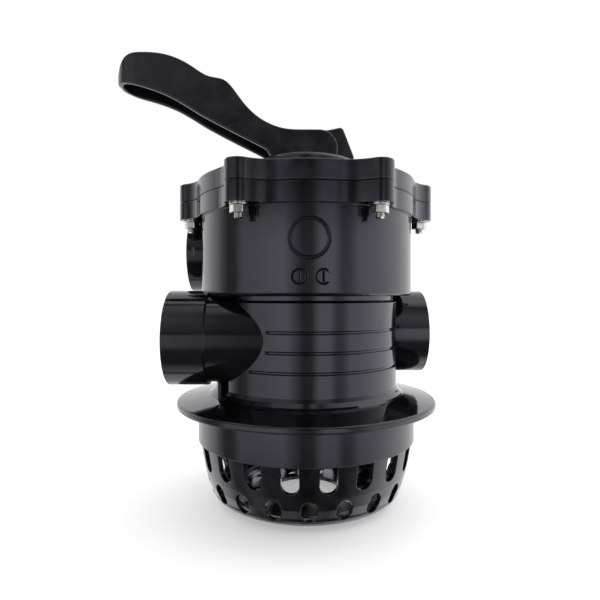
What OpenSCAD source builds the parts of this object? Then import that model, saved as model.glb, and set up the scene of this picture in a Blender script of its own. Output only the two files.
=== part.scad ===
// Top-mount multiport valve for a pool or spa sand filter.
// Frame: Z is the valve axis and points up to the handle, and Z = 0 is the underside of the clamp flange.
// X runs along the three pipe sockets, and the handle's grip points along -X at rest.

/* [Clamp flange and spigot] */
// Radius of the clamp flange
flange_r = 97; // [94:0.5:100]
// Thickness of the clamp flange at its rim
flange_rim = 4.7; // [4:0.1:6]
// Outside radius of the spigot that enters the tank
spigot_r = 81.5; // [80.5:0.1:82.5]
// Depth of the spigot below the clamp flange
spigot_h = 24.6; // [22:0.2:27]
// Wall of the spigot
spigot_wall = 5; // [4:0.5:5.5]

/* [Neck and upper body] */
// Outside radius of the grooved neck
neck_r = 68.6; // [67:0.2:69]
// Wall of the neck and the upper body
body_wall = 6; // [5:0.5:6.5]
// Height of the step where the neck meets the upper body
step_z = 81.1; // [79:0.1:82]
// Outside radius of the upper body
upper_r = 79.3; // [79:0.1:80]
// Height of the seat plate's top face
seat_z = 90; // [89:0.5:91]
// Distance between the three grooves round the neck
groove_pitch = 13.1; // [12:0.1:14]

/* [Bolted joint] */
// Height of the body flange's underside
joint_low_z = 138.6; // [138:0.2:140]
// Height of the parting line between body and cover
parting_z = 151.9; // [151:0.1:153]
// Height of the cover's rim
cover_top_z = 165.5; // [165:0.1:167]
// Radius of both flanges between the lobes
joint_r = 82; // [81:0.5:83]
// Radius of the bolt circle
bolt_circle_r = 87.75; // [87:0.25:88.5]
// Radius of each lobe
lobe_r = 9; // [8.5:0.1:10]
// Length of the cover bolts under the head
bolt_len = 30; // [28:1:32]

/* [Pipe sockets] */
// Radius of each socket's bore, for 50 mm pipe
socket_r = 25.15; // [24.2:0.05:25.4]
// Depth of the two lower sockets
socket_depth = 27; // [25:1:31]
// Outside radius of the two lower sockets' collars
collar_r = 33; // [31:0.5:34]
// Length of each collar
collar_len = 27.6; // [26:0.2:30]
// Sideways distance of the sockets from the valve axis
port_offset = 31; // [30:0.5:32]
// Height of the two lower sockets
low_port_z = 51.6; // [50:0.2:53]
// Height of the upper socket
high_port_z = 115; // [113:0.5:117]
// Distance from the axis to the mouths of the lower sockets
low_port_end = 96; // [95:0.5:98]
// Distance from the axis to the mouth of the upper socket
high_port_end = 93; // [92:0.5:95]

/* [Basket] */
// Depth of the basket's bottom below the clamp flange
basket_depth = 70.7; // [68:0.1:74]
// Slots in each row round the basket
slots = 20; // [16:1:20]
// Width of each slot
slot_w = 11.5; // [9:0.5:12]

/* [Rotor, stem and spring] */
// Radius of the stem
stem_r = 10; // [9.5:0.1:10.2]
// Radius of the rotor plate
rotor_r = 60; // [56:0.5:62]
// Radial gap between the stem and its bore in the cover
running_gap = 0.05; // [0.02:0.01:0.1]
// Turns of the spring
spring_turns = 6.5; // [5.5:1:7.5]
// Radius of the spring's wire
wire_r = 1.9; // [1.6:0.1:2]

/* [Handle] */
// Width of the handle
handle_w = 34; // [32:0.5:36]
// Height of the handle pin
pin_z = 184; // [183.5:0.1:184.5]
// Travel of the handle from rest, in degrees
handle_tilt = 24; // [20:1:24]
// Stem lift for each radian of handle tilt, which is the radius of the cam's base circle
cam_r = 13.75; // [12:0.25:14]

/* [Hidden] */
$fn = 96;

eps = 0.01;             // overlap that makes two fused shapes share volume
fit_gap = 0.1;          // gap between faces that meet in one body
slip_gap = 0.2;         // gap between faces that slide on each other

// Colours
abs_black = "#1b1b1d";
handle_black = "#202023";
rubber_black = "#101011";
stainless = "#c9ccd0";
nylon_white = "#dcdcd6";
plate_grey = "#b9bcc0";
clear_blue = "#bcd6e0";

// Body
flare_r = 72;           // neck radius at its foot
flare_z = 14;           // height where the flare ends
chamber_r = upper_r - body_wall;
neck_bore_r = neck_r - body_wall;
seat_t = 8;             // thickness of the seat plate
floor_z = 4;            // underside of the floor that closes the lower chambers
floor_t = 6;
riser_r = 31;           // outside of the centre tube
riser_low_z = -34;      // lower end of the centre tube
riser_stop_z = 20;      // shoulder that stops the riser pipe
wall_t = 4;             // partition walls
sectors = 6;
sector_deg = 360 / sectors;
spoke_w = 6;
hub_r = 24;
seat_r = 56;            // outer edge of the seat openings
waterway_r = 23;
tube_r = 31;            // low sockets behind their collars
high_tube_r = 30;
oring_r = 77;           // centre line of the cover O-ring
oring_groove_w = 4.2;
oring_groove_d = 3.2;
gasket_deep = 2.5;
gasket_t = 3.4;
groove_deep = 1.2;
groove_w = 1.6;
groove_top_z = 57.1;
blank_r = 13.25;        // blank ring on the front of the upper body
blank_w = 1.9;
blank_z = 117;
date_xs = [-6.3, 8.5]; // two moulded date rings under the blank ring
date_z = 93;
date_r = 4.9;
boss_r = 13;
plug_y = 84;            // face of the gauge boss behind the body
gauge_r = 6.6;
sight_x = 50;
sight_y = 68;           // face of the sight glass boss
sight_r = 11;
sight_boss_r = 16.5;

// Bolts
m6_r = 3;
bolt_hole_r = 3.3;
head_across = 10;
head_h = 4;
washer_t = 1.2;
nut_h = 5;
head_seat_z = parting_z + 5.9;
nut_top_z = joint_low_z - washer_t;

// Cover
cup_r = 38.4;           // outside of the cup at its rim
cup_foot_r = 42;
cup_bore_r = 34;
cup_top_z = 182;
cup_floor_z = 170;
stem_bore_r = stem_r + running_gap;
sleeve_r = 14.5;
sleeve_low_z = 146;
spring_pocket_r = 23;
spring_seat_z = 160;
cover_face_z = cover_top_z + 0.6;
plate_low_z = cover_face_z - 0.8;
plate_t = 1;
plate_in_r = 45;
plate_out_r = 74;

// Rotor and what rides on it
rotor_low_z = seat_z - gasket_deep + gasket_t + slip_gap;
rotor_t = 8;
hub_top_z = 122;
rotor_hub_r = 25;
tunnel_top_z = 126;
spring_washer_t = 1.5;
spring_low_z = hub_top_z + spring_washer_t;
spring_high_z = spring_seat_z - slip_gap - spring_washer_t;
spring_r = 18.6;
stem_ring_zs = [154, 162];
stem_ring_w = 3.2;
stem_ring_d = 2.4;

// Handle
washer_top_z = pin_z - 12;
handle_washer_t = washer_top_z - cup_floor_z - slip_gap;
handle_washer_r = 28;
pin_r = 3;
pin_len = handle_w - 1;
cheek_gap = 2 * stem_r + 0.6;
shell_t = 4;
heel_w = 20;
// Top line of the handle from the tip of the grip to the flat over the pin, as x, z
top_line = [[-143.4, 241.8], [-142.6, 245], [-140.6, 251], [-137.4, 256.4], [-132.8, 259.5], [-126.5, 260.8],
    [-119, 261], [-111, 260.6], [-103, 259.2], [-94.3, 256.2], [-85.5, 251.4], [-77.6, 245.8], [-72, 243.2],
    [-65.5, 242.2], [-60.4, 240.9], [-55.6, 236.4], [-50.2, 228.9], [-45.8, 223.1], [-41.4, 218.4], [-37, 214.5],
    [-32.5, 211.4], [-28.1, 209.1], [-23.7, 207.2], [-17, 205.2], [-9, 204.4], [9.5, 204.5]];
// Lower rim of the handle from its cams back to the tip of the grip
low_line = [[-30, 189.6], [-40, 194.9], [-52, 200.8], [-63, 206.4], [-74, 212.2], [-80, 215.5], [-88, 220.6],
    [-97, 225.9], [-105, 229.9], [-115, 233.6], [-126, 236.8], [-136, 239.1], [-141.6, 240.2]];
cheek_end = [9.5, 190.8];
cheek_r = 13.7;

// ---- Shapes used by more than one sub-part ----

module tube(r, bore, h) {
    difference() {
        cylinder(r = r, h = h);
        translate([0, 0, -1]) cylinder(r = bore, h = h + 2);
    }
}

// Bar along X whose end is at x
module along_x(r, from, to) translate([from, 0, 0]) rotate([0, 90, 0]) cylinder(r = r, h = to - from);

// Bar along Y
module along_y(r, from, to) translate([0, from, 0]) rotate([-90, 0, 0]) cylinder(r = r, h = to - from);

module ring(r, section_r) rotate_extrude() translate([r, 0]) circle(r = section_r, $fn = 24);

module hexagon(across, h) cylinder(d = across / cos(30), h = h, $fn = 6);

module at_bolts() for (i = [0 : 5]) rotate(60 * i) translate([bolt_circle_r, 0, 0]) children();

// Six-lobed flange. Each lobe runs into the round edge through a fillet on either side.
fillet_r = 28;
fillet_bite = 0.06;     // makes each fillet cross the two curves that it joins, not just touch them
seam_step = 0.03;       // keeps the round plate's top just under the lobes' tops
fillet_out = joint_r + fillet_r;
fillet_deg = acos((pow(fillet_out, 2) + pow(bolt_circle_r, 2) - pow(lobe_r + fillet_r, 2))
    / (2 * fillet_out * bolt_circle_r));
fillet_at = [fillet_out * cos(fillet_deg), fillet_out * sin(fillet_deg)];
module lobed_plate(h, grow = 0) {
    cylinder(r = joint_r + grow, h = h - seam_step, $fn = 180);
    at_bolts() cylinder(r = lobe_r + grow, h = h);
    for (i = [0 : 5]) rotate(60 * i) difference() {
        linear_extrude(h) polygon([[0, 0], fillet_at, [bolt_circle_r, 0], [fillet_at.x, -fillet_at.y]]);
        for (side = [-1, 1]) translate([fillet_at.x, side * fillet_at.y, -1])
            cylinder(r = fillet_r - grow + fillet_bite, h = h + 2);
    }
}

// Wedge of the six-way pattern, between two angles, from the axis outwards
module wedge(from_deg, to_deg, h) linear_extrude(h)
    polygon([[0, 0], for (a = [from_deg : 15 : to_deg]) 120 * [cos(a), sin(a)]]);

// The six seat openings. Spokes of equal width lie between them.
module seat_openings(inner, outer, h, spoke) difference() {
    tube(outer, inner, h);
    for (i = [0 : 2]) rotate(sector_deg * i) translate([-outer - 1, -spoke / 2, -1]) cube([2 * outer + 2, spoke, h + 2]);
}

// ---- Body ----

module body_outside() {
    translate([0, 0, -spigot_h]) cylinder(r = spigot_r, h = spigot_h + flange_rim);
    rotate_extrude($fn = 180) polygon([[0, 0], [flange_r - 0.8, 0], [flange_r, 0.8], [flange_r, flange_rim - 1],
        [flange_r - 1, flange_rim], [flare_r + 1.5, 9], [flare_r, 10], [neck_r + 1, flare_z - 1.5],
        [neck_r, flare_z + 1], [neck_r, step_z - 4.5], [neck_r - 2.2, step_z - 3.6], [neck_r - 2.2, step_z],
        [upper_r - 1.5, step_z], [upper_r, step_z + 1.5], [upper_r, parting_z], [0, parting_z]]);
    translate([0, 0, joint_low_z]) lobed_plate(parting_z - joint_low_z);
    for (side = [-1, 1]) translate([0, side * port_offset, low_port_z]) {
        along_x(tube_r, side > 0 ? 25 : -low_port_end + 5, side > 0 ? low_port_end - 5 : -25);
        along_x(collar_r, side > 0 ? low_port_end - collar_len : -low_port_end,
            side > 0 ? low_port_end : collar_len - low_port_end);
    }
    translate([0, port_offset + 2, high_port_z]) along_x(high_tube_r, -high_port_end, -25);
    for (side = [-1, 1]) translate([side * 61 - 1.25, side * port_offset - 8, 4]) cube([2.5, 16, low_port_z - 30]);
    translate([0, 0, blank_z]) along_y(boss_r, 60, plug_y);
    translate([sight_x, 0, low_port_z]) along_y(sight_boss_r, port_offset, sight_y);
    translate([0, 0, riser_low_z]) cylinder(r = riser_r, h = 40);
}

module neck_grooves() for (i = [0 : 2]) translate([0, 0, groove_top_z - i * groove_pitch - groove_w / 2])
    difference() {
        tube(neck_r + 3, neck_r - groove_deep, groove_w);
        for (side = [-1, 1]) translate([0, side * port_offset, low_port_z - groove_top_z + i * groove_pitch])
            along_x(tube_r + 1, side > 0 ? 0 : -90, side > 0 ? 90 : 0);
    }

module lower_chambers() translate([0, 0, floor_z + floor_t]) difference() {
    cylinder(r = neck_bore_r, h = seat_z - seat_t - floor_z - floor_t);
    translate([0, 0, -1]) cylinder(r = riser_r, h = 90);
    for (i = [0 : 2]) rotate(sector_deg * i) translate([-90, -wall_t / 2, -1]) cube([180, wall_t, 90]);
}

module valve_body() color(abs_black) difference() {
    body_outside();
    neck_grooves();
    translate([0, 0, seat_z]) cylinder(r = chamber_r, h = 80);
    lower_chambers();
    translate([0, 0, seat_z - seat_t - 1]) seat_openings(hub_r + 4, seat_r, seat_t + 2, spoke_w);
    translate([0, 0, seat_z - gasket_deep]) cylinder(r = seat_r + 4, h = 10);
    // Spigot, open to the tank through two of the six chambers
    translate([0, 0, -spigot_h - 1]) tube(spigot_r - spigot_wall, riser_r, spigot_h + 1 + floor_z);
    for (a = [120, 300]) intersection() {
        translate([0, 0, floor_z - 1]) tube(neck_bore_r, riser_r, floor_t + 2);
        translate([0, 0, floor_z - 1]) wedge(a + 4, a + 56, floor_t + 2);
    }
    // Riser tube, open to the front chamber through a window
    translate([0, 0, riser_low_z - 1]) cylinder(r = socket_r, h = riser_stop_z - riser_low_z + 1);
    translate([0, 0, riser_stop_z - 1]) cylinder(r = waterway_r, h = seat_z - seat_t - riser_stop_z - 2);
    translate([0, 0, riser_low_z - 1]) cylinder(r = socket_r + 3.6, h = 8);
    translate([-9, -40, 40]) cube([18, 40, 30]);
    // Sockets and waterways
    for (side = [-1, 1]) translate([0, side * port_offset, low_port_z]) {
        along_x(socket_r, side > 0 ? low_port_end - socket_depth : -low_port_end - 1,
            side > 0 ? low_port_end + 1 : socket_depth - low_port_end);
        intersection() {
            along_x(waterway_r, side > 0 ? 34 : -90, side > 0 ? 90 : -34);
            translate([0, -side * port_offset, -60]) wedge(side > 0 ? 3 : 183, side > 0 ? 57 : 237, 120);
        }
    }
    translate([0, port_offset + 2, high_port_z]) {
        along_x(socket_r, -high_port_end - 1, 22 - high_port_end);
        along_x(waterway_r, -90, -30);
    }
    // O-ring seats
    translate([0, 0, parting_z - oring_groove_d])
        tube(oring_r + oring_groove_w / 2, oring_r - oring_groove_w / 2, 10);
    translate([0, 0, -1]) tube(spigot_r + 7, spigot_r + 1, 4);
    at_bolts() translate([0, 0, 100]) cylinder(r = bolt_hole_r, h = 80);
    // Blank ring, gauge port and sight port
    translate([0, 0, blank_z]) difference() {
        along_y(blank_r, -90, -upper_r + 1.9);
        along_y(blank_r - blank_w, -91, 0);
    }
    for (x = date_xs) translate([x, 0, date_z]) {
        difference() {
            along_y(date_r, -90, -78.4);
            along_y(date_r - 0.7, -91, 0);
        }
        translate([-0.3, -90, -3]) cube([0.6, 11.6, 6]);
    }
    translate([0, 0, blank_z]) along_y(gauge_r, 60, 90);
    translate([sight_x, 0, low_port_z]) along_y(sight_r, port_offset, 90);
    translate([sight_x, 0, low_port_z]) along_y(sight_r + 2.4, sight_y - 2.2, 90);
}

module tank_o_ring() color(rubber_black) ring(spigot_r + 4, 2.9);

// Wall of the basket as x, z from the rim down to the flat bottom
basket_wall = [[80, -spigot_h - fit_gap], [79.2, -29], [77.6, -38], [76, -46], [73.8, -54], [71.2, -60]];
corner = [50, 60 - basket_depth];
basket_corner = [for (a = [0 : 10 : 90]) [corner.x + 21.2 * cos(a), -60 + corner.y * sin(a)]];
basket_t = 3;
module basket_shell() rotate_extrude($fn = 120) polygon(concat(
    [[74, -spigot_h - fit_gap], [74, -14], [spigot_r - spigot_wall - fit_gap, -14],
        [spigot_r - spigot_wall - fit_gap, -spigot_h - fit_gap]],
    basket_wall, basket_corner, [[27, -basket_depth], [27, -basket_depth + basket_t]],
    [for (i = [len(basket_corner) - 1 : -1 : 0]) basket_corner[i] + basket_t * [-1 + i / 10, 1] ],
    [for (i = [len(basket_wall) - 2 : -1 : 1]) basket_wall[i] - [basket_t + 0.6, 0]]));

// Slot cut through a wall that faces -Y: square at the top or round at both ends
module slot(low, high, w, square_top, from, to) translate([0, -from, 0]) rotate([90, 0, 0]) linear_extrude(to - from) {
    translate([-w / 2, low + w / 2]) square([w, high - low - w / 2 - (square_top ? 0 : w / 2)]);
    translate([0, low + w / 2]) circle(d = w);
    if (!square_top) translate([0, high - w / 2]) circle(d = w);
}

module diffuser_basket() color(abs_black) difference() {
    basket_shell();
    for (i = [0 : slots - 1]) {
        rotate((i + 0.5) * 360 / slots) slot(-42.5, -spigot_h - 0.6, slot_w, true, 66, 90);
        rotate(i * 360 / slots) slot(-62, -48, slot_w - 1, false, 52, 90);
    }
    for (i = [0 : 9]) rotate(i * 36) translate([34, -3, -80]) cube([14, 6, 20]);
}

module riser_o_ring() color(rubber_black) translate([0, 0, riser_low_z + 4.9]) ring(socket_r + 1.85, 1.75);

module riser_seal_ring() color(nylon_white) translate([0, 0, riser_low_z]) tube(socket_r + 3.5, socket_r + 0.3, 3);

module spider_gasket() color(rubber_black) translate([0, 0, seat_z - gasket_deep]) difference() {
    cylinder(r = seat_r + 3.9, h = gasket_t);
    translate([0, 0, -1]) seat_openings(hub_r + 4.5, seat_r - 0.5, gasket_t + 2, spoke_w + 1);
    translate([0, 0, -1]) cylinder(r = hub_r - 4, h = gasket_t + 2);
}

// ---- Cover and its fasteners ----

module cover() color(abs_black) difference() {
    union() {
        translate([0, 0, parting_z + fit_gap]) lobed_plate(cover_top_z - parting_z - fit_gap);
        rotate_extrude($fn = 180) polygon([[0, 147], [chamber_r - 0.2, 147], [chamber_r - 0.2, 155], [78, 155],
            [78, cover_face_z - 0.5], [77.5, cover_face_z], [cup_foot_r + 1, cover_face_z], [cup_foot_r, cover_face_z + 1],
            [cup_r + 1, cup_top_z - 2.5], [cup_r, cup_top_z - 1], [cup_r - 1.2, cup_top_z], [0, cup_top_z]]);
        translate([0, 0, sleeve_low_z]) cylinder(r = sleeve_r, h = 20);
    }
    // Hollow underside with six ribs
    translate([0, 0, 140]) difference() {
        tube(chamber_r - 5.5, spring_pocket_r + 4, 18);
        for (i = [0 : 2]) rotate(60 * i + 30) translate([-80, -2, 11]) cube([160, 4, 20]);
    }
    translate([0, 0, 140]) tube(spring_pocket_r, sleeve_r, spring_seat_z - 140);
    translate([0, 0, 140]) tube(spring_pocket_r + 5, spring_pocket_r - 1, 9);
    // Cup, stem bore, bolt pockets and the bed of the position plate
    translate([0, 0, cup_floor_z]) cylinder(r = cup_bore_r, h = 20);
    cylinder(r = stem_bore_r, h = 200);
    at_bolts() {
        translate([0, 0, 140]) cylinder(r = bolt_hole_r, h = 40);
        translate([0, 0, head_seat_z]) cylinder(r = 6.35, h = 20);
    }
    translate([0, 0, plate_low_z]) tube(plate_out_r + fit_gap, plate_in_r - fit_gap, 5);
}

module cover_o_ring() color(rubber_black) translate([0, 0, parting_z - oring_groove_d / 2]) rotate_extrude() {
    for (side = [-1, 1]) translate([oring_r + side * 0.5, 0]) circle(r = 1.55, $fn = 24);
    translate([oring_r - 0.5, -1.55]) square([1, 3.1]);
}

module cover_bolts() color(stainless) at_bolts() {
    translate([0, 0, head_seat_z + washer_t]) hexagon(head_across, head_h);
    translate([0, 0, head_seat_z + washer_t - bolt_len]) cylinder(r = m6_r, h = bolt_len + eps);
}

module head_washers() color(stainless) at_bolts() translate([0, 0, head_seat_z]) tube(6, m6_r + 0.2, washer_t);

module nut_washers() color(stainless) at_bolts() translate([0, 0, nut_top_z]) tube(6, m6_r + 0.2, washer_t);

module cover_nuts() color(stainless) at_bolts() translate([0, 0, nut_top_z - nut_h]) difference() {
    hexagon(head_across, nut_h);
    translate([0, 0, -1]) cylinder(r = m6_r + 0.02, h = nut_h + 2);
}

module position_plate() color(plate_grey) translate([0, 0, plate_low_z]) tube(plate_out_r, plate_in_r, plate_t);

// ---- Ports on the back ----

module gauge_plug() color(abs_black) translate([0, 0, blank_z]) {
    along_y(gauge_r - 0.05, plug_y - 9, plug_y + 1);
    along_y(9.5, plug_y + 0.8, plug_y + 2.8);
    translate([0, plug_y + 2.7, 0]) rotate([-90, 0, 0]) hexagon(15, 6);
}

module gauge_plug_o_ring() color(rubber_black) translate([0, plug_y + 0.4, blank_z]) rotate([90, 0, 0])
    translate([0, 0, -0.4]) tube(8.6, gauge_r + 0.1, 0.8);

module sight_glass() color(clear_blue) translate([sight_x, 0, low_port_z]) difference() {
    union() {
        along_y(sight_r - 0.1, sight_y - 10, sight_y + 0.5);
        along_y(15, sight_y, sight_y + 2.5);
    }
    along_y(sight_r - 2.2, sight_y - 11, sight_y - 0.5);
}

module sight_glass_o_ring() color(rubber_black) translate([sight_x, sight_y - 1.1, low_port_z]) rotate([90, 0, 0])
    ring(sight_r + 1.2, 1.05);

module sight_glass_ring() color(abs_black) translate([sight_x, 0, low_port_z]) difference() {
    along_y(19.5, sight_y - 3.4, sight_y + 5);
    along_y(sight_boss_r + 0.05, sight_y - 7, sight_y);
    along_y(15.2, sight_y - 1, sight_y + 2.6);
    along_y(sight_r, sight_y + 2, sight_y + 6);
    for (i = [0 : 11]) rotate([0, 30 * i, 0]) translate([19.6, 0, 0]) along_y(1.4, sight_y - 7, sight_y + 6);
}

// ---- Slip rings, which turn with the handle but don't lift ----

module handle_washer() color(nylon_white) translate([0, 0, cup_floor_z]) tube(handle_washer_r, stem_r + 0.3, handle_washer_t);

module upper_spring_washer() color(stainless) translate([0, 0, spring_high_z]) tube(22, sleeve_r + 0.5, spring_washer_t);

// Height of the coil's centre line: the end turns lie flat and the turns between them are open
dead_turns = 0.8;
function coil_z(t) = let(open = spring_turns - 2 * dead_turns, flat = 2 * wire_r * 0.96,
    free = spring_high_z - spring_low_z - 2 * wire_r - 2 * flat * dead_turns,
    lift = t < dead_turns ? flat * t
        : t > spring_turns - dead_turns ? flat * dead_turns + free + flat * (t - spring_turns + dead_turns)
        : flat * dead_turns + free * (t - dead_turns) / open)
    spring_low_z + wire_r + lift;
module spring() color(stainless) {
    sides = 10;
    steps = spring_turns * 20;
    points = [for (i = [0 : steps]) let(t = i / 20, a = 360 * t) for (k = [0 : sides - 1])
        let(b = 360 * k / sides, r = spring_r + wire_r * cos(b))
        [r * cos(a), r * sin(a), coil_z(t) + wire_r * sin(b)]];
    ends = [[for (k = [0 : sides - 1]) k], [for (k = [sides - 1 : -1 : 0]) steps * sides + k]];
    skin = [for (i = [0 : steps - 1], k = [0 : sides - 1]) let(n = (k + 1) % sides)
        [i * sides + k, (i + 1) * sides + k, (i + 1) * sides + n, i * sides + n]];
    polyhedron(points = points, faces = concat(ends, skin));
}

// ---- Rotor and what lifts with it ----

module rotor() color(abs_black) difference() {
    union() {
        translate([0, 0, rotor_low_z]) cylinder(r = rotor_r, h = rotor_t);
        rotate_extrude() polygon([[0, rotor_low_z], [40, rotor_low_z + rotor_t], [rotor_hub_r + 2, 106],
            [rotor_hub_r, hub_top_z], [0, hub_top_z]]);
        intersection() {
            translate([0, 0, rotor_low_z]) rotate_extrude() polygon([[0, 0], [57, 0], [57, 22],
                [49, tunnel_top_z - rotor_low_z - 6], [0, tunnel_top_z - rotor_low_z - 6]]);
            translate([0, 0, rotor_low_z]) wedge(180, 300, 60);
        }
        cylinder(r = stem_r, h = pin_z + stem_r);
        for (a = [30, 90, 150, -30]) rotate(a) translate([0, -1.5, rotor_low_z + 1]) cube([56, 3, rotor_t + 6]);
    }
    translate([0, 0, -1]) cylinder(r = 80, h = rotor_low_z + 1);
    // Way from the pump socket down through the plate
    intersection() {
        translate([0, 0, 80]) tube(54, 29, 26);
        translate([0, 0, 80]) wedge(64, 116, 60);
    }
    // Tunnel that joins two neighbouring ways under the plate
    intersection() {
        translate([0, 0, 80]) tube(52, 28, tunnel_top_z - 80 - 10);
        translate([0, 0, 80]) wedge(185, 295, 60);
    }
    // Round head with the pin hole, flat-bottomed grooves for the two O-rings
    difference() {
        translate([-20, -20, pin_z]) cube([40, 40, 20]);
        translate([0, 0, pin_z]) along_y(stem_r, -21, 21);
    }
    translate([0, 0, pin_z]) along_y(pin_r + running_gap, -20, 20);
    for (z = stem_ring_zs) translate([0, 0, z - stem_ring_w / 2]) tube(stem_r + 5, stem_r - stem_ring_d, stem_ring_w);
    translate([0, 0, 80]) cylinder(r = 6, h = 50);
}

module stem_o_ring(z) color(rubber_black) translate([0, 0, z])
    ring(stem_r - stem_ring_d / 2 + 0.01, stem_ring_d / 2);
module lower_stem_o_ring() stem_o_ring(stem_ring_zs[0]);
module upper_stem_o_ring() stem_o_ring(stem_ring_zs[1]);

module lower_spring_washer() color(stainless) translate([0, 0, hub_top_z]) tube(22, stem_r + 0.3, spring_washer_t);

module handle_pin() color(stainless) translate([0, 0, pin_z]) along_y(pin_r, -pin_len / 2, pin_len / 2);

// ---- Handle ----

// The cam is an involute of a circle round the pin, so the stem lifts by the same amount for each degree of tilt
cam_h = pin_z - washer_top_z;
function cam_point(a) = let(h = cam_h + cam_r * a * PI / 180)
    [-h * sin(a) - cam_r * cos(a), pin_z - h * cos(a) + cam_r * sin(a)];
cam = [for (a = [0 : 3 : handle_tilt]) cam_point(a)];
cheek_arc = [for (a = [90 : -10 : -10]) cheek_end + cheek_r * [cos(a), sin(a)]];
foot_arc = [for (a = [0 : -15 : -90]) [19 + 4 * cos(a), washer_top_z + 4 + 4 * sin(a)]];
side_line = concat(eased(top_line), cheek_arc, foot_arc, cam, eased(low_line));

// Line with its corners cut at a quarter of each side, twice, which leaves its ends in place
function cut_corners(line) = concat([line[0]], [for (i = [0 : len(line) - 2], t = [0.25, 0.75])
    line[i] + t * (line[i + 1] - line[i])], [line[len(line) - 1]]);
function eased(line) = cut_corners(cut_corners(line));

// Unit normal to the left of the line at point i
function normal(line, i) = let(d = line[min(i + 1, len(line) - 1)] - line[max(i - 1, 0)]) [-d.y, d.x] / norm(d);
inner_top = [for (i = [1 : len(top_line) - 3]) top_line[i] - shell_t * normal(top_line, i)];
hollow_line = concat(eased(inner_top), [[-22, 190], [-30, 176], [-143, 220]]);

// Outline seen from the side, made as wide as w
module side_plate(line, w) translate([0, w / 2, 0]) rotate([90, 0, 0]) linear_extrude(w) polygon(line);

// Plan of the grip: straight sides and a round end
module plan(end, w) {
    translate([end + w / 2, 0, 160]) cylinder(r = w / 2, h = 120);
    translate([end + w / 2, -w / 2, 160]) cube([200, w, 120]);
}

// Room between the cheeks for the stem's head over the whole tilt
function turned(p, a) = [p.x * cos(a) - p.y * sin(a), p.x * sin(a) + p.y * cos(a)];
module head_room() rotate([90, 0, 0]) linear_extrude(cheek_gap, center = true) {
    circle(r = stem_r + 1);
    polygon([[stem_r + 1, 0], [stem_r + 1, -30], turned([-stem_r - 1, -30], -handle_tilt),
        turned([-stem_r - 1, 0], -handle_tilt)]);
}

heel_line = [[6, 200], [8, 204.4], [25.4, 208.2], [26.9, 208], [28.2, 206.6], [36.4, 185.5], [35.4, 184],
    [22, 179], [14, 180]];
module handle() color(handle_black) difference() {
    union() {
        intersection() {
            side_plate(side_line, handle_w);
            plan(-143.4, handle_w);
        }
        side_plate(heel_line, heel_w);
    }
    intersection() {
        side_plate(hollow_line, handle_w - 2 * shell_t);
        plan(-143.4 + shell_t, handle_w - 2 * shell_t);
    }
    translate([0, 0, pin_z]) {
        head_room();
        along_y(pin_r + running_gap, -handle_w, handle_w);
    }
}

valve_body();
diffuser_basket();
tank_o_ring();
riser_o_ring();
riser_seal_ring();
spider_gasket();
cover();
cover_o_ring();
cover_bolts();
head_washers();
nut_washers();
cover_nuts();
position_plate();
gauge_plug();
gauge_plug_o_ring();
sight_glass();
sight_glass_o_ring();
sight_glass_ring();
handle_washer();
upper_spring_washer();
spring();
rotor();
lower_stem_o_ring();
upper_stem_o_ring();
lower_spring_washer();
handle_pin();
handle();
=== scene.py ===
import math

import bmesh
import bpy
from mathutils import Matrix, Vector
from mathutils.bvhtree import BVHTree


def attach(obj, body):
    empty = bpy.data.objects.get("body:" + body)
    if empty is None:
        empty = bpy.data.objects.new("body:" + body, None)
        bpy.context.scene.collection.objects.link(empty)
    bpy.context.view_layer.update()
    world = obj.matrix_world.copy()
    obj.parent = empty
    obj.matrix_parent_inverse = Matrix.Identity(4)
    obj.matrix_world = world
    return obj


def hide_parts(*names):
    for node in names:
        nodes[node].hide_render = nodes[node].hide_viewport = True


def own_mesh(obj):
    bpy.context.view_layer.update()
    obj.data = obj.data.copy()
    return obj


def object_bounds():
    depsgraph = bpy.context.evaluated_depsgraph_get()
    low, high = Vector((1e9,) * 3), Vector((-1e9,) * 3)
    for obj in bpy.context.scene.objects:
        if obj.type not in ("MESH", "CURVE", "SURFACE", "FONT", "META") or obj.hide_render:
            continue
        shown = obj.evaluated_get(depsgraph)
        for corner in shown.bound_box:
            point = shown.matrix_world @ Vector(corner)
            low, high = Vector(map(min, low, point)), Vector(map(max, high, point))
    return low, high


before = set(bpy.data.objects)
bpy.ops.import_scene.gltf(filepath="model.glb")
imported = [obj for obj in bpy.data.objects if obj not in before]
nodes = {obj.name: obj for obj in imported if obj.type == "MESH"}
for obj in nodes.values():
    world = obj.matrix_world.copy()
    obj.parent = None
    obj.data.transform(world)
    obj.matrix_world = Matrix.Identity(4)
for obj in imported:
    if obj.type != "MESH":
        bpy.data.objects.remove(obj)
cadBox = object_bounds()
mm = 0.001


def linearColour(hexValue):
    parts = [int(hexValue[i:i + 2], 16) / 255 for i in (1, 3, 5)]
    return [c / 12.92 if c <= 0.04045 else ((c + 0.055) / 1.055) ** 2.4 for c in parts] + [1]


def addNode(tree, kind, settings=None, links=None, **fields):
    node = tree.nodes.new(kind)
    for key, value in fields.items():
        setattr(node, key, value)
    for key, value in (settings or {}).items():
        node.inputs[key].default_value = value
    for key, (source, out) in (links or {}).items():
        tree.links.new(source.outputs[out], node.inputs[key])
    return node


# Finishes. Grain and wave sizes are in millimetres

# Injection-moulded ABS: a black gloss skin over slight sink waves, with handling scuffs that dull it in places
glossyAbsLook = {"base": "#08080a", "worn": "#121214", "rough": (0.05, 0.15), "grain": 0.45, "grainDepth": 0.0012,
    "wave": 22, "waveDepth": 0.10, "scuff": 16, "ior": 1.53, "tint": "#eae8ff"}
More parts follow.
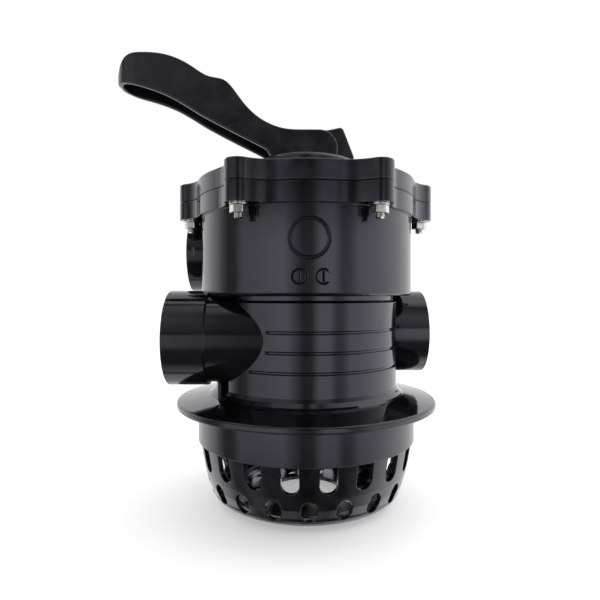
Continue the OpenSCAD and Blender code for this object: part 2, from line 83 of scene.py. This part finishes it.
# The same ABS from a duller tool: the basket's slots leave a satin skin
basketAbsLook = {"base": "#09090b", "worn": "#151517", "rough": (0.1, 0.26), "grain": 0.4, "grainDepth": 0.002,
    "wave": 14, "waveDepth": 0.1, "scuff": 9, "ior": 1.53, "tint": "#eae8ff"}
# Glass-filled ABS of the lid, with a fine spark-eroded skin
coverAbsLook = {"base": "#0a0a0c", "worn": "#161619", "rough": (0.14, 0.28), "grain": 0.5, "grainDepth": 0.003,
    "wave": 26, "waveDepth": 0.14, "scuff": 14, "ior": 1.53, "tint": "#eae8ff"}
# The handle is dyed a little greyer and polished by hands on its grip
handleAbsLook = {"base": "#0b0b0d", "worn": "#17171a", "rough": (0.2, 0.36), "grain": 0.55, "grainDepth": 0.003,
    "wave": 20, "waveDepth": 0.12, "scuff": 18, "ior": 1.53, "tint": "#eae8ff"}
# EPDM rubber: dull, with talc left from its mould
rubberLook = {"base": "#0a0a0a", "worn": "#1c1c1b", "rough": (0.5, 0.7), "grain": 0.3, "grainDepth": 0.012,
    "wave": 12, "waveDepth": 0.05, "scuff": 5, "ior": 1.52}
# Glass-filled Noryl of the rotor: a matt charcoal with a fibre haze
rotorLook = {"base": "#0d0d0e", "worn": "#1a1a1b", "rough": (0.36, 0.5), "grain": 0.35, "grainDepth": 0.01,
    "wave": 15, "waveDepth": 0.1, "scuff": 8, "ior": 1.57}
# Cold-headed A2 stainless: bright with drawn streaks and light tool marks
stainlessLook = {"base": "#cfcfcc", "worn": "#a9a9a5", "rough": (0.16, 0.34), "grain": 0.25, "grainDepth": 0.003,
    "wave": 3, "waveDepth": 0.02, "scuff": 2, "ior": 1.5, "metallic": 1.0}
# Acetal of the seal ring and handle washer: waxy white
acetalLook = {"base": "#dedcd4", "worn": "#cfccc1", "rough": (0.3, 0.42), "grain": 0.4, "grainDepth": 0.003,
    "wave": 10, "waveDepth": 0.05, "scuff": 7, "ior": 1.48}
# Printed vinyl of the position plate: silver grey with a fine pebble
vinylLook = {"base": "#b7babd", "worn": "#a7aaad", "rough": (0.38, 0.5), "grain": 0.6, "grainDepth": 0.012,
    "wave": 20, "waveDepth": 0.05, "scuff": 12, "ior": 1.5}
# Screen-printed ink on the plate: dull black
inkLook = {"base": "#141416", "worn": "#1d1d20", "rough": (0.45, 0.55), "grain": 0.6, "grainDepth": 0.004,
    "wave": 20, "waveDepth": 0.02, "scuff": 10, "ior": 1.5}
# Clear polycarbonate of the sight glass: faint blue, with a moulded haze
clearLook = {"base": "#e9f3f5", "worn": "#dfecee", "rough": (0.04, 0.12), "grain": 0.5, "grainDepth": 0.001,
    "wave": 8, "waveDepth": 0.04, "scuff": 6, "ior": 1.585, "clear": 1.0}
# How the scuffs spread: the share of the noise that they take, and how broken up they are
scuffing = {"from": 0.35, "to": 0.7, "detail": 5.0, "breakup": 0.6, "waveDetail": 1.0, "grainDetail": 2.0}


def moulded(name, look):
    material = bpy.data.materials.new(name)
    material.use_nodes = True
    tree = material.node_tree
    tree.nodes.clear()
    where = addNode(tree, "ShaderNodeTexCoord")
    at = {"Vector": (where, "Object")}
    scuff = addNode(tree, "ShaderNodeTexNoise", {"Scale": 1 / (look["scuff"] * mm), "Detail": scuffing["detail"],
        "Roughness": scuffing["breakup"]}, at)
    spread = addNode(tree, "ShaderNodeMapRange", {"From Min": scuffing["from"], "From Max": scuffing["to"]},
        {"Value": (scuff, 0)})
    shade = addNode(tree, "ShaderNodeMix", {6: linearColour(look["base"]), 7: linearColour(look["worn"])},
        {0: (spread, 0)}, data_type="RGBA")
    low, high = look["rough"]
    gloss = addNode(tree, "ShaderNodeMapRange", {"To Min": low, "To Max": high}, {"Value": (spread, 0)})
    coarse, fine = scuffing["waveDetail"], scuffing["grainDetail"]
    wave = addNode(tree, "ShaderNodeTexNoise", {"Scale": 1 / (look["wave"] * mm), "Detail": coarse}, at)
    skin = addNode(tree, "ShaderNodeTexNoise", {"Scale": 1 / (look["grain"] * mm), "Detail": fine}, at)
    sink = addNode(tree, "ShaderNodeBump", {"Distance": look["waveDepth"] * mm}, {"Height": (wave, 0)})
    bump = addNode(tree, "ShaderNodeBump", {"Distance": look["grainDepth"] * mm},
        {"Height": (skin, 0), "Normal": (sink, 0)})
    shader = addNode(tree, "ShaderNodeBsdfPrincipled", {"IOR": look["ior"], "Metallic": look.get("metallic", 0.0),
        "Specular Tint": linearColour(look.get("tint", "#ffffff")), "Transmission Weight": look.get("clear", 0.0)},
        {"Base Color": (shade, 2), "Roughness": (gloss, 0), "Normal": (bump, 0)})
    addNode(tree, "ShaderNodeOutputMaterial", None, {"Surface": (shader, 0)})
    return material


glossyAbs = moulded("glossyAbs", glossyAbsLook)
basketAbs = moulded("basketAbs", basketAbsLook)
coverAbs = moulded("coverAbs", coverAbsLook)
handleAbs = moulded("handleAbs", handleAbsLook)
epdmRubber = moulded("epdmRubber", rubberLook)
rotorNoryl = moulded("rotorNoryl", rotorLook)
stainless = moulded("stainless", stainlessLook)
acetal = moulded("acetal", acetalLook)
plateVinyl = moulded("plateVinyl", vinylLook)
plateInk = moulded("plateInk", inkLook)
clearPolycarbonate = moulded("clearPolycarbonate", clearLook)

finishes = {"valve_body": glossyAbs, "diffuser_basket": basketAbs, "cover": coverAbs, "handle": handleAbs,
    "rotor": rotorNoryl, "gauge_plug": glossyAbs, "sight_glass_ring": glossyAbs, "sight_glass": clearPolycarbonate,
    "position_plate": plateVinyl, "riser_seal_ring": acetal, "handle_washer": acetal}
for name in nodes:
    if "o_ring" in name or "gasket" in name:
        finishes[name] = epdmRubber
    finishes.setdefault(name, stainless)
    nodes[name].data.materials.clear()
    nodes[name].data.materials.append(finishes[name])
print("finishes made")

# The directions that pieces are turned about
up, across, back = Vector((0, 0, 1)), Vector((1, 0, 0)), Vector((0, 1, 0))


def makePiece(bm, name, material, body, stands=(), normals=None):
    for face in bm.faces:
        face.smooth = True
    mesh = bpy.data.meshes.new(name)
    bm.to_mesh(mesh)
    bm.free()
    if normals:
        mesh.normals_split_custom_set(normals)
    mesh.materials.append(material)
    piece = bpy.data.objects.new(name, mesh)
    bpy.context.scene.collection.objects.link(piece)
    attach(piece, body)
    if stands:
        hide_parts(*stands)
    return piece


def spun(radius, degrees):
    return Vector((radius * math.cos(math.radians(degrees)), radius * math.sin(math.radians(degrees)), 0))


# The normal at each corner of a face, from the cylinder or cone it was turned on if there is one
turning = {"round": 0.02, "smallest": 1.0, "flattest": 0.98, "closest": 0.9965}


def trueNormals(face, turnings):
    best, bestSpread = None, turning["round"] * mm
    for centre, axis in turnings:
        along = face.normal.dot(axis)
        if abs(along) > turning["flattest"]:
            continue
        arms = [v.co - centre for v in face.verts]
        arms = [arm - axis * arm.dot(axis) for arm in arms]
        reach = [arm.length for arm in arms]
        spread = max(reach) - min(reach)
        cone = centre.length < mm  # only the valve's own axis has cones
        if min(reach) < turning["smallest"] * mm or (spread > turning["round"] * mm and not cone):
            continue
        side = 1 if (face.normal - axis * along).dot(arms[0]) > 0 else -1
        lean = math.sqrt(1 - along * along)
        guess = [arm.normalized() * side * lean + axis * along for arm in arms]
        if min(g.dot(face.normal) for g in guess) > turning["closest"] and (best is None or spread < bestSpread):
            best, bestSpread = guess, spread
    return best or [face.normal.copy()] * len(face.verts)


def foldsOver(bm, degrees):
    return [e for e in bm.edges if len(e.link_faces) == 2 and e.calc_face_angle(0) > math.radians(degrees)]


# Rounds the sharp edges and gives every corner the normal of the turned surface it lies on
def finishMoulding(bm, made, turnings):
    sharp = foldsOver(bm, made["angle"])
    solid = BVHTree.FromBMesh(bm)
    rounded = set(bmesh.ops.bevel(bm, geom=sharp, offset=made["edge"] * mm, offset_type="OFFSET",
        segments=made["steps"], profile=0.5, affect="EDGES", clamp_overlap=False, material=-1)["faces"])
    # At a pinched corner the rounding overshoots, and its points go back onto the solid
    for vert in bm.verts:
        near, _, _, gap = solid.find_nearest(vert.co)
        if gap > made["edge"] * mm:
            vert.co = near
    bm.normal_update()
    flat = {}
    for face in bm.faces:
        if face not in rounded:
            for vert, normal in zip(face.verts, trueNormals(face, turnings)):
                flat[face, vert] = normal
    normals = []
    for face in bm.faces:
        for loop in face.loops:
            vert = loop.vert
            normal = flat.get((face, vert))
            if normal is None:
                sides = [loop.edge, loop.link_loop_prev.edge]
                near = [g for edge in sides for g in edge.link_faces if g not in rounded]
                near = near or [g for g in vert.link_faces if g not in rounded]
                total = sum((flat[g, vert] for g in near), Vector())
                normal = total.normalized() if total.length > 0.1 else vert.normal
            normals.append(tuple(normal))
    return normals


# Where the turned surfaces are: a point on each axis in metres, and its direction
turned = [(Vector((0, 0, 0)), up),  # the valve's own axis
    (Vector((0, -0.031, 0.0516)), across),  # return socket
    (Vector((0, 0.031, 0.0516)), across),  # waste socket
    (Vector((0, 0.033, 0.115)), across),  # pump socket
    (Vector((0, 0, 0.117)), back)]  # blank ring
# The bolt lobes and the hollows between them: the radii of their centres, and how far a hollow is turned from its lobe
lobes = {"count": 6, "circle": 0.08775, "fillet": 0.110, "turn": 17.306}
lobes["step"] = 360 / lobes["count"]
for place in range(lobes["count"]):
    turned.append((spun(lobes["circle"], lobes["step"] * place), up))
    for side in (-1, 1):
        turned.append((spun(lobes["fillet"], lobes["step"] * place + side * lobes["turn"]), up))

# These keep the shape of their solids, and get the rounded edges of a real tool. The angle is the least fold that is
# rounded; corners closer than join are one, and surfaces that near a flush height in mm are brought level with it
mouldings = {
    "valve_body": {"body": "housing", "slot": "glossy_abs", "edge": 0.55, "steps": 3, "angle": 26, "join": 0.06,
        "flush": [151.9, 138.6]},
    "diffuser_basket": {"body": "housing", "slot": "basket_abs", "edge": 0.6, "steps": 3, "angle": 26},
    "cover": {"body": "housing", "slot": "cover_abs", "edge": 1.2, "steps": 3, "angle": 30, "join": 0.06,
        "flush": [165.5, 152.0]},
    "handle": {"body": "handle", "slot": "handle_abs", "edge": 1.3, "steps": 4},
    "rotor": {"body": "rotor", "slot": "rotor_noryl", "edge": 0.4},
    "gauge_plug": {"body": "housing", "slot": "glossy_abs", "edge": 0.5, "steps": 3},
    "sight_glass_ring": {"body": "housing", "slot": "glossy_abs", "edge": 0.5, "steps": 3},
    "position_plate": {"body": "housing", "slot": "plate_vinyl", "edge": 0.15},
    "riser_seal_ring": {"body": "housing", "slot": "acetal", "edge": 0.3},
    "handle_washer": {"body": "slip_rings", "slot": "acetal", "edge": 0.3},
    "cover_nuts": {"body": "housing", "slot": "stainless_steel", "edge": 0.4, "angle": 40},
    "head_washers": {"body": "housing", "slot": "stainless_steel", "edge": 0.25, "angle": 40},
    "nut_washers": {"body": "housing", "slot": "stainless_steel", "edge": 0.25, "angle": 40}}
usual = {"steps": 2, "angle": 32, "join": 0.01, "flush": [], "level": 0.6, "folded": 165, "shortest": 0.01, "sweeps": 2}
for name, special in mouldings.items():
    made = {**usual, **special}
    bm = bmesh.new()
    bm.from_mesh(nodes[name].data)
    # The solid's lobes stand a hair lower than its plates, and here they are drawn flush
    for vert in bm.verts:
        for level in made["flush"]:
            if abs(vert.co.z - level * mm) < made["join"] * mm:
                vert.co.z = level * mm
    bmesh.ops.remove_doubles(bm, verts=bm.verts, dist=made["join"] * mm)
    bmesh.ops.dissolve_degenerate(bm, dist=made["shortest"] * mm, edges=bm.edges)
    for sweep in range(made["sweeps"]):
        bm.normal_update()
        bmesh.ops.dissolve_edges(bm, edges=foldsOver(bm, made["folded"]), use_verts=True)
        bmesh.ops.dissolve_limit(bm, angle_limit=math.radians(made["level"]), verts=bm.verts, edges=bm.edges)
    bmesh.ops.recalc_face_normals(bm, faces=bm.faces)
    normals = finishMoulding(bm, made, turned)
    piece = makePiece(bm, name + "_moulding", finishes[name], made["body"], [name], normals)
    print(name, "moulding:", len(piece.data.polygons), "faces")

# Cover bolts: a hexagon head and a rolled M6 thread down to a chamfered end. Sizes are in millimetres
bolt = {"seat": 159.0, "headHigh": 4.0, "across": 10.0, "headEdge": 0.4, "radius": 3.0, "root": 2.5, "end": 2.0,
    "pitch": 1.0, "thread": (0.35, 0.75, 0.9), "tip": 129.0, "steps": 32, "crease": 28}
bm = bmesh.new()
for place in range(lobes["count"]):
    turn = lobes["step"] * place
    centre = spun(lobes["circle"], turn)
    corner = bolt["across"] * mm / math.sqrt(3)
    seat = Matrix.Translation(centre + up * (bolt["seat"] + bolt["headHigh"] / 2) * mm)
    head = bmesh.ops.create_cone(bm, cap_ends=True, segments=6, radius1=corner, radius2=corner,
        depth=bolt["headHigh"] * mm, matrix=seat @ Matrix.Rotation(math.radians(turn), 4, "Z"))
    edges = {e for v in head["verts"] for e in v.link_edges}
    bmesh.ops.bevel(bm, geom=list(edges), offset=bolt["headEdge"] * mm, segments=2, profile=0.5, affect="EDGES",
        clamp_overlap=True, material=-1)
    outline = [(0, bolt["tip"]), (bolt["end"], bolt["tip"])]
    for ridge in range(int((bolt["seat"] - bolt["tip"]) / bolt["pitch"])):
        low = bolt["tip"] + ridge * bolt["pitch"]
        outline += [(r, low + rise) for r, rise in zip((bolt["root"], bolt["radius"], bolt["radius"]), bolt["thread"])]
    outline += [(bolt["radius"], bolt["seat"]), (0, bolt["seat"])]
    points = [bm.verts.new(centre + across * r * mm + up * z * mm) for r, z in outline]
    lines = [bm.edges.new(pair) for pair in zip(points, points[1:])]
    bmesh.ops.spin(bm, geom=points + lines, cent=centre, axis=up, angle=math.tau, steps=bolt["steps"], use_merge=True)
bmesh.ops.remove_doubles(bm, verts=bm.verts, dist=0.001 * mm)
bmesh.ops.recalc_face_normals(bm, faces=bm.faces)
piece = makePiece(bm, "cover_bolts_threaded", stainless, "housing", ["cover_bolts"])
piece.data.set_sharp_from_angle(angle=math.radians(bolt["crease"]))

# Spring: one wire wound with a closed turn at each end. It is wound at one length, though the real spring shortens as
# the rotor lifts
coil = {"low": 123.5, "high": 158.3, "radius": 18.6, "wire": 1.9, "turns": 6.5, "closed": 1.0, "touch": 0.96,
    "steps": 48, "sides": 16, "keep": 0.832}
bm = bmesh.new()
start = Matrix.Translation((coil["radius"] * mm, 0, (coil["low"] + coil["wire"]) * mm))
bmesh.ops.create_circle(bm, cap_ends=True, segments=coil["sides"], radius=coil["wire"] * mm,
    matrix=start @ Matrix.Rotation(math.radians(90), 4, "X"))
openTurns = coil["turns"] - 2 * coil["closed"]
closedRise = 2 * coil["wire"] * coil["touch"]
openRise = (coil["high"] - coil["low"] - 2 * coil["wire"] - 2 * closedRise * coil["closed"]) / openTurns
front = list(bm.faces)
for turns, rise in ((coil["closed"], closedRise), (openTurns, openRise), (coil["closed"], closedRise)):
    wound = bmesh.ops.spin(bm, geom=front, cent=(0, 0, 0), axis=up, dvec=up * rise * mm / coil["steps"],
        angle=math.tau * turns, steps=int(coil["steps"] * turns))
    front = [g for g in wound["geom_last"] if isinstance(g, bmesh.types.BMFace)]
bmesh.ops.recalc_face_normals(bm, faces=bm.faces)
piece = makePiece(bm, "spring_wound", stainless, "slip_rings", ["spring"])
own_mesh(piece)

# Position plate: plain numerals for the six positions, and lines between them
dial = {"radius": 59.5, "size": 13.0, "face": 166.3, "ink": 0.12, "line": (22.0, 0.9), "first": -90, "crease": 28}
bm = bmesh.new()
for place in range(lobes["count"]):
    turn = lobes["step"] * place
    words = bpy.data.curves.new("numeral", "FONT")
    words.body = str(place + 1)
    words.align_x, words.align_y = "CENTER", "CENTER"
    words.size = dial["size"] * mm
    words.extrude = dial["ink"] * mm
    holder = bpy.data.objects.new("numeral", words)
    bpy.context.scene.collection.objects.link(holder)
    flat = bpy.data.meshes.new_from_object(holder)
    flat.transform(Matrix.Translation(spun(dial["radius"] * mm, turn + dial["first"]) + up * dial["face"] * mm)
        @ Matrix.Rotation(math.radians(turn), 4, "Z"))
    bm.from_mesh(flat)
    bpy.data.objects.remove(holder)
    bpy.data.curves.remove(words)
    bpy.data.meshes.remove(flat)
    bmesh.ops.create_cube(bm, size=1, matrix=Matrix.Rotation(math.radians(turn - lobes["step"]), 4, "Z")
        @ Matrix.Translation((dial["radius"] * mm, 0, dial["face"] * mm))
        @ Matrix.Diagonal((dial["line"][0] * mm, dial["line"][1] * mm, 2 * dial["ink"] * mm, 1)))
piece = makePiece(bm, "position_numerals", plateInk, "housing")
piece.data.set_sharp_from_angle(angle=math.radians(dial["crease"]))
print("fasteners, spring and dial made")

# The floor is white paper that glows a little, so that only a soft shadow shows on it. Reflections pass it by
floorSheet = {"size": 6.0, "below": 0.0001, "colour": "#ffffff", "rough": 0.9, "glow": 0.35}
bm = bmesh.new()
bmesh.ops.create_grid(bm, x_segments=1, y_segments=1, size=floorSheet["size"] / 2)
bmesh.ops.translate(bm, verts=bm.verts, vec=(0, 0, cadBox[0].z - floorSheet["below"]))
mesh = bpy.data.meshes.new("floorSheet")
bm.to_mesh(mesh)
bm.free()
paper = bpy.data.materials.new("paper")
paper.use_nodes = True
sheet = paper.node_tree.nodes["Principled BSDF"].inputs
sheet["Base Color"].default_value = linearColour(floorSheet["colour"])
sheet["Roughness"].default_value = floorSheet["rough"]
sheet["Emission Color"].default_value = linearColour(floorSheet["colour"])
sheet["Emission Strength"].default_value = floorSheet["glow"]
mesh.materials.append(paper)
floorPiece = bpy.data.objects.new("floorSheet", mesh)
bpy.context.scene.collection.objects.link(floorPiece)
floorPiece.visible_glossy = False

# A light tent. Its panels are soft, with dark gaps between them: degrees from the front (minus is left) and brightness.
# Over and under the front it darkens to the room: the sine of the height above the horizon, and brightness
tent = {"strength": 1.9, "background": 1.0, "seam": 0.13, "ends": 0.1,
    "panels": [(-180, 0.55), (-150, 0.6), (-125, 0.75), (-108, 0.62), (-98, 0.3), (-80, 0.17), (-70, 0.62), (-40, 0.85),
        (-24, 0.95), (-14, 0.5), (-5, 0.17), (5, 0.2), (14, 0.9), (27, 0.9), (36, 0.36), (44, 0.42), (54, 0.9),
        (90, 1.0), (120, 0.85), (150, 0.6)],
    "room": [(-0.8, 0.08), (-0.45, 0.15), (-0.25, 0.9), (0.12, 1.0), (0.17, 0.55), (0.23, 0.22), (0.36, 0.4),
        (0.7, 0.5)],
    "front": (0.1, -0.5)}


def grey(bright):
    return [bright, bright, bright, 1]


world = bpy.data.worlds.new("tent")
bpy.context.scene.world = world
world.use_nodes = True
tree = world.node_tree
tree.nodes.clear()
where = addNode(tree, "ShaderNodeTexCoord")
around = addNode(tree, "ShaderNodeTexGradient", None, {"Vector": (where, "Generated")}, gradient_type="RADIAL")
ramp = addNode(tree, "ShaderNodeValToRGB", None, {"Fac": (around, 0)})
stops = ramp.color_ramp.elements
stops[0].position, stops[1].position = 0.0, 1.0
for stop in stops:
    stop.color = grey(tent["seam"])
for degrees, bright in tent["panels"]:
    stops.new((0.25 + degrees / 360) % 1).color = grey(bright)
split = addNode(tree, "ShaderNodeSeparateXYZ", None, {0: (where, "Generated")})
front = addNode(tree, "ShaderNodeMapRange", {"From Min": tent["front"][0], "From Max": tent["front"][1], "To Max": 1.0},
    {"Value": (split, "Y")})
height = addNode(tree, "ShaderNodeMapRange", {"From Min": -1.0}, {"Value": (split, "Z")})
above = addNode(tree, "ShaderNodeValToRGB", None, {"Fac": (height, 0)})
for rise, bright in tent["room"]:
    above.color_ramp.elements.new(0.5 + rise / 2).color = grey(bright)
for stop in (above.color_ramp.elements[0], above.color_ramp.elements[-1]):
    stop.color = grey(tent["ends"])
shadeOff = addNode(tree, "ShaderNodeMix", {6: (1, 1, 1, 1)}, {0: (front, 0), 7: (above, 0)}, data_type="RGBA")
power = addNode(tree, "ShaderNodeMix", {0: 1.0}, {6: (ramp, 0), 7: (shadeOff, 2)}, data_type="RGBA",
    blend_type="MULTIPLY")
soft = addNode(tree, "ShaderNodeBackground", {"Strength": tent["strength"]}, {"Color": (power, 2)})
white = addNode(tree, "ShaderNodeBackground", {"Color": grey(1), "Strength": tent["background"]})
seen = addNode(tree, "ShaderNodeLightPath")
both = addNode(tree, "ShaderNodeMixShader", None, {0: (seen, "Is Camera Ray"), 1: (soft, 0), 2: (white, 0)})
addNode(tree, "ShaderNodeOutputWorld", None, {"Surface": (both, 0)})
bpy.context.scene.view_settings.view_transform = "Standard"

cameraSet = {"at": (-0.01126, -0.38406, 0.0816), "pitch": 90, "turn": -1.0, "lens": 29.8, "sensor": 36,
    "rise": -5 / 600}
lens = bpy.data.cameras.new("camera")
lens.lens = cameraSet["lens"]
lens.sensor_width = cameraSet["sensor"]
lens.shift_y = cameraSet["rise"]
cameraPiece = bpy.data.objects.new("camera", lens)
cameraPiece.location = cameraSet["at"]
cameraPiece.rotation_euler = (math.radians(cameraSet["pitch"]), 0, math.radians(cameraSet["turn"]))
bpy.context.scene.collection.objects.link(cameraPiece)
bpy.context.scene.camera = cameraPiece
print("stage made")
